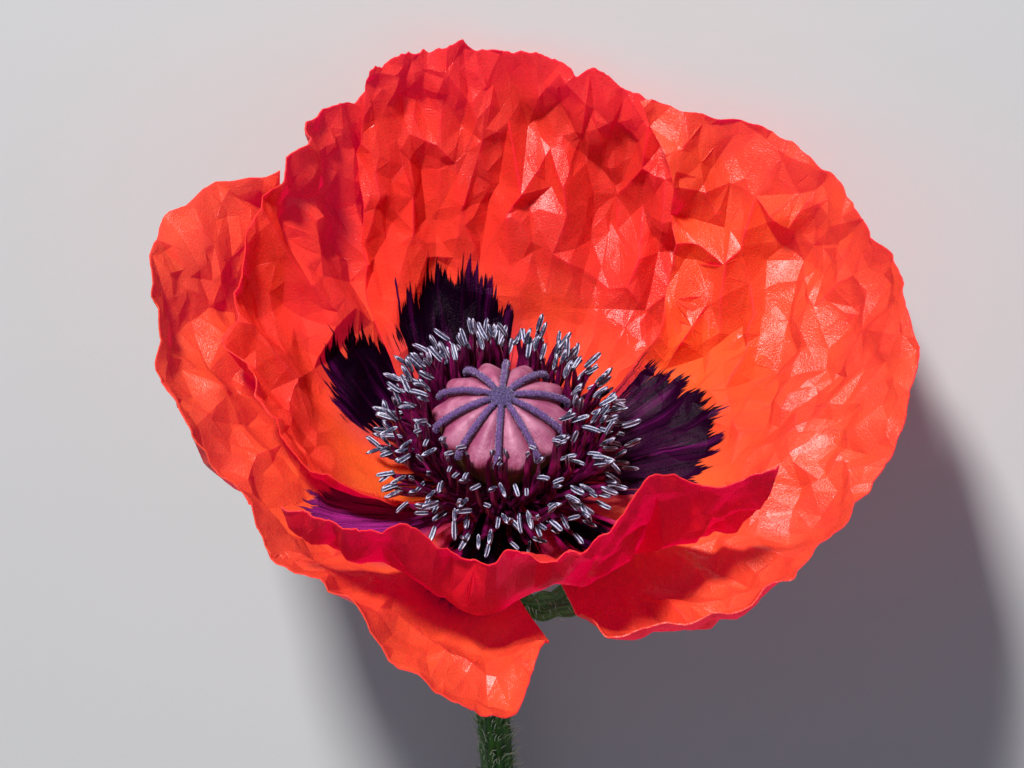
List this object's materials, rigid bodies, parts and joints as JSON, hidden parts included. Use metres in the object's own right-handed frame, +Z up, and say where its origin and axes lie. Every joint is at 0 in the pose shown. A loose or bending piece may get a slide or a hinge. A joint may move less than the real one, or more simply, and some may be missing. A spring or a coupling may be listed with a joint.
{
  "type": "oriental poppy bloom on a cut stem",
  "caption": "Open orange-red poppy bloom with crumpled, overlapping petals, a crown of stamens and a rayed seed pod, on a short cut stem, lying on its side.",
  "frame": {"origin": "on the ground, under the middle of the lying flower's bounding box", "axes": "+Z is up, +Y runs along the stem from the bloom to the cut end, and the open bloom faces -Y and a little up"},
  "size_m": [0.121, 0.2074, 0.0846],
  "materials": {
    "stem": "matte",
    "bract": "matte",
    "petal": "satin",
    "seed_pod": "satin",
    "stigma_rays": "matte",
    "stamens": "satin"
  },
  "bodies": {
    "root": {"stem": "stem", "bract": "bract", "petal_front_left": "petal", "petal_back_left": "petal", "petal_back": "petal", "petal_right": "petal", "petal_front": "petal", "seed_pod": "seed_pod", "stigma_rays": "stigma_rays", "stamens": "stamens"}
  },
  "joints": []
}
